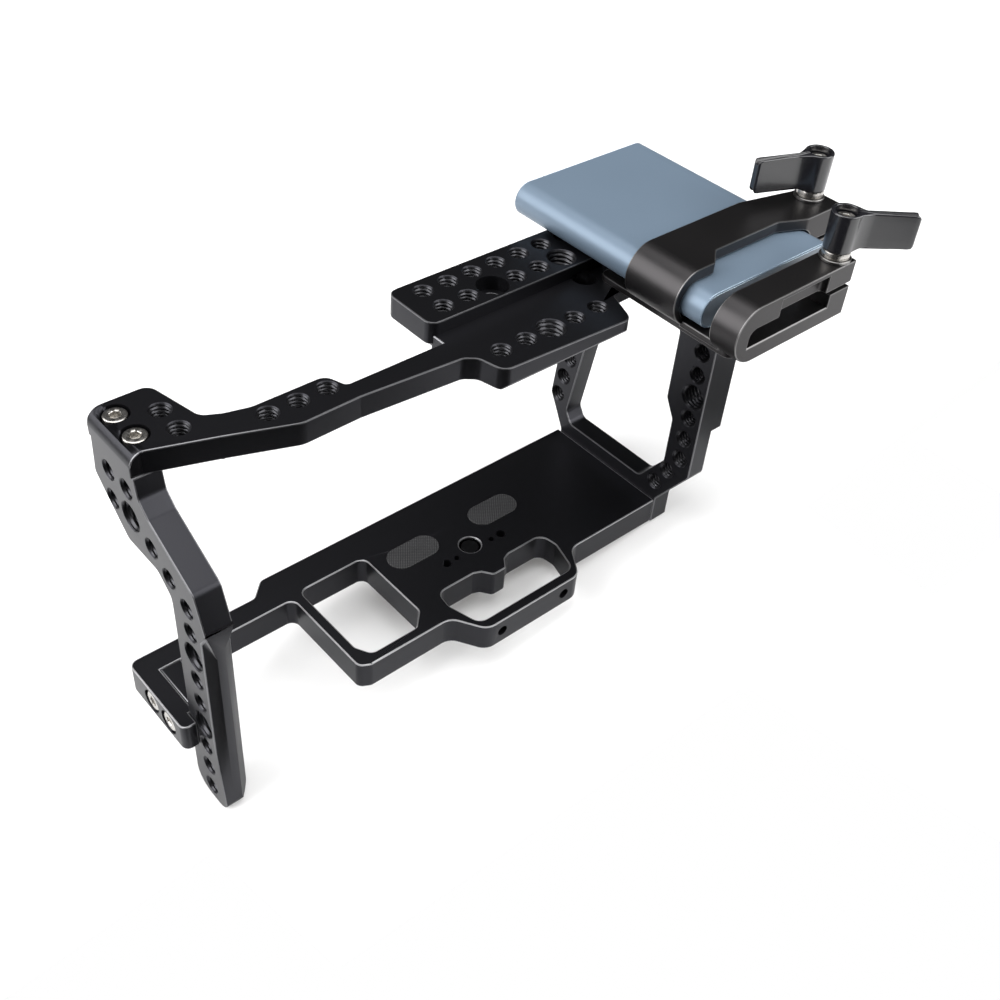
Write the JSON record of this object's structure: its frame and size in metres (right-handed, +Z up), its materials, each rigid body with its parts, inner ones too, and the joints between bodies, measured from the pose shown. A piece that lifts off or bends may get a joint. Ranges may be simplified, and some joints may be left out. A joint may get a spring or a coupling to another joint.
{
  "type": "camera cage",
  "caption": "Machined camera cage with arm, base plate and side ring full of accessory threads, and a two-lever clamp that holds a flat portable drive on top.",
  "frame": {"origin": "on the camera screw's axis, in the base plate's top face", "axes": "+X along the cage towards the ring and the drive clamp, +Y away from the lens side, +Z up"},
  "size_m": [0.2446, 0.112, 0.1658],
  "materials": {
    "black_anodised": "black anodised, fine blasted",
    "lever_coating": "gloss black coated",
    "stainless": "bright stainless",
    "rubber": "matt, fine mesh",
    "nylon": "matt",
    "drive_shell": "blue anodised, satin",
    "drive_cap": "satin"
  },
  "bodies": {
    "frame": {"top_plate": "black_anodised", "left_arm": "black_anodised", "base_plate": "black_anodised", "side_ring": "black_anodised", "arm_cap_screws": "stainless", "foot_screws": "stainless", "ring_base_screws": "stainless", "ring_top_screws": "stainless", "clamp_plate_screws": "stainless", "clamp_body_screws": "stainless", "base_pins": "stainless", "top_pins": "stainless", "base_rubber_pads": "rubber", "arm_bumpers": "rubber", "clamp_plate": "black_anodised", "drive_clamp": "black_anodised", "jaw_linings": "rubber", "camera_screw_ring": "stainless"},
    "camera_screw_carrier": {"camera_screw_washer": "nylon"},
    "camera_screw_body": {"camera_screw": "stainless"},
    "rear_carrier": {"rear_washer": "stainless"},
    "rear_stud_body": {"rear_stud": "stainless", "rear_lever_screw": "stainless", "rear_lever_spring": "stainless"},
    "rear_lever_body": {"rear_lever": "lever_coating"},
    "front_carrier": {"front_washer": "stainless"},
    "front_stud_body": {"front_stud": "stainless", "front_lever_screw": "stainless", "front_lever_spring": "stainless"},
    "front_lever_body": {"front_lever": "lever_coating"},
    "drive": {"drive_shell": "drive_shell", "drive_front_cap": "drive_cap", "drive_rear_cap": "drive_cap", "drive_port": "stainless"}
  },
  "joints": [
    {"name": "rear_stud_rise", "type": "slide", "parent": "frame", "child": "rear_carrier", "axis": [0, 0, 1], "range_m": [0, 0.0017]},
    {"name": "rear_stud_turn", "type": "hinge", "parent": "rear_carrier", "child": "rear_stud_body", "pos_m": [0.1168, -0.028, 0.116], "axis": [0, 0, 1], "range_deg": [0, 720]},
    {"name": "rear_lever_lift", "type": "slide", "parent": "rear_stud_body", "child": "rear_lever_body", "axis": [0, 0, 1], "range_m": [0, 0.0025], "stiffness_N_per_m": 600, "springref_m": -0.002, "deforming": ["rear_lever_spring"]},
    {"name": "front_stud_rise", "type": "slide", "parent": "frame", "child": "front_carrier", "axis": [0, 0, 1], "range_m": [0, 0.0017]},
    {"name": "front_stud_turn", "type": "hinge", "parent": "front_carrier", "child": "front_stud_body", "pos_m": [0.0918, -0.058, 0.116], "axis": [0, 0, 1], "range_deg": [0, 720]},
    {"name": "front_lever_lift", "type": "slide", "parent": "front_stud_body", "child": "front_lever_body", "axis": [0, 0, 1], "range_m": [0, 0.0025], "stiffness_N_per_m": 600, "springref_m": -0.002, "deforming": ["front_lever_spring"]},
    {"name": "camera_screw_rise", "type": "slide", "parent": "frame", "child": "camera_screw_carrier", "axis": [0, 0, 1], "range_m": [0, 0.0046]},
    {"name": "camera_screw_turn", "type": "hinge", "parent": "camera_screw_carrier", "child": "camera_screw_body", "pos_m": [0, 0, -0.006], "axis": [0, 0, 1], "continuous": true},
    {"name": "drive_slide", "type": "slide", "parent": "frame", "child": "drive", "axis": [0, 1, 0], "range_m": [0, 0.0295]}
  ],
  "couplings": [
    {"joint": "rear_stud_rise", "follows": "rear_stud_turn", "m_per_rad": 0.00012732},
    {"joint": "front_stud_rise", "follows": "front_stud_turn", "m_per_rad": 0.00012732}
  ]
}
